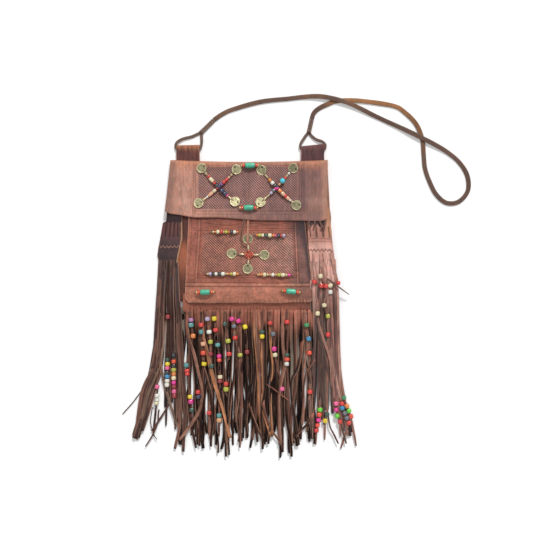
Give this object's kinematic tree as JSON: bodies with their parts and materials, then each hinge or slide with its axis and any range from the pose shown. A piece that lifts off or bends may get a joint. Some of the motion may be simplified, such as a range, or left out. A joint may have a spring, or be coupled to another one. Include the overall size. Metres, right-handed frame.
{
  "type": "fringed leather shoulder bag",
  "caption": "Flat leather shoulder bag with a fold-over flap, long fringe, two side tassels, coin and bead trim, and a loose strap.",
  "frame": {"origin": "on the flat back of the bag, under the middle of the flap's hem", "axes": "+Z out of the front of the bag as it lies on its back, +Y from the fringe toward the strap"},
  "size_m": [0.4851, 0.5322, 0.0284],
  "materials": {
    "body_leather": "smooth tooled reddish-brown leather",
    "pouch_leather": "rust-brown leather, slightly rough",
    "panel_leather": "smooth tooled rust-brown leather",
    "fringe_leather": "napped dark brown leather strips",
    "dark_leather": "dark purple-brown leather",
    "tassel_leather": "pale reddish-brown leather",
    "strap_leather": "worn grey-brown leather thong",
    "coin_metal": "dull olive brass with bright high spots",
    "turquoise": "polished turquoise stone",
    "red_beads": "glossy red and orange beads",
    "cream_beads": "glossy cream and pale beads",
    "teal_beads": "glossy teal and dark green beads"
  },
  "bodies": {
    "root": {"back_and_flap": "body_leather", "pouch": "pouch_leather", "front_panel": "panel_leather", "under_fringe": "fringe_leather", "front_fringe": "fringe_leather", "left_tassel": "dark_leather", "right_tassel": "tassel_leather", "closing_thong": "dark_leather", "left_tab": "dark_leather", "right_tab": "dark_leather", "left_strap_end": "strap_leather", "right_strap_end": "strap_leather", "shoulder_strap": "strap_leather", "left_string_under": "red_beads", "left_string_over": "cream_beads", "right_string_under": "cream_beads", "right_string_over": "red_beads", "upper_left_row": "red_beads", "upper_right_row": "cream_beads", "lower_left_row": "cream_beads", "lower_right_row": "red_beads", "centre_knot": "red_beads", "beaded_thong_1": "teal_beads", "beaded_thong_2": "red_beads", "beaded_thong_3": "teal_beads", "beaded_thong_4": "red_beads", "beaded_thong_5": "teal_beads", "beaded_thong_6": "red_beads", "beaded_thong_7": "teal_beads", "beaded_thong_8": "red_beads", "beaded_thong_9": "teal_beads", "beaded_thong_10": "red_beads", "beaded_thong_11": "teal_beads", "flap_coin_1": "coin_metal", "flap_coin_2": "coin_metal", "flap_coin_3": "coin_metal", "flap_coin_4": "coin_metal", "flap_coin_5": "coin_metal", "flap_coin_6": "coin_metal", "flap_coin_7": "coin_metal", "flap_coin_8": "coin_metal", "panel_coin_1": "coin_metal", "panel_coin_2": "coin_metal", "panel_coin_3": "coin_metal", "panel_coin_4": "coin_metal", "top_turquoise": "turquoise", "top_turquoise_thread": "red_beads", "hem_turquoise": "turquoise", "hem_turquoise_thread": "red_beads", "left_turquoise": "turquoise", "left_turquoise_thread": "red_beads", "right_turquoise": "turquoise", "right_turquoise_thread": "red_beads"}
  },
  "joints": []
}
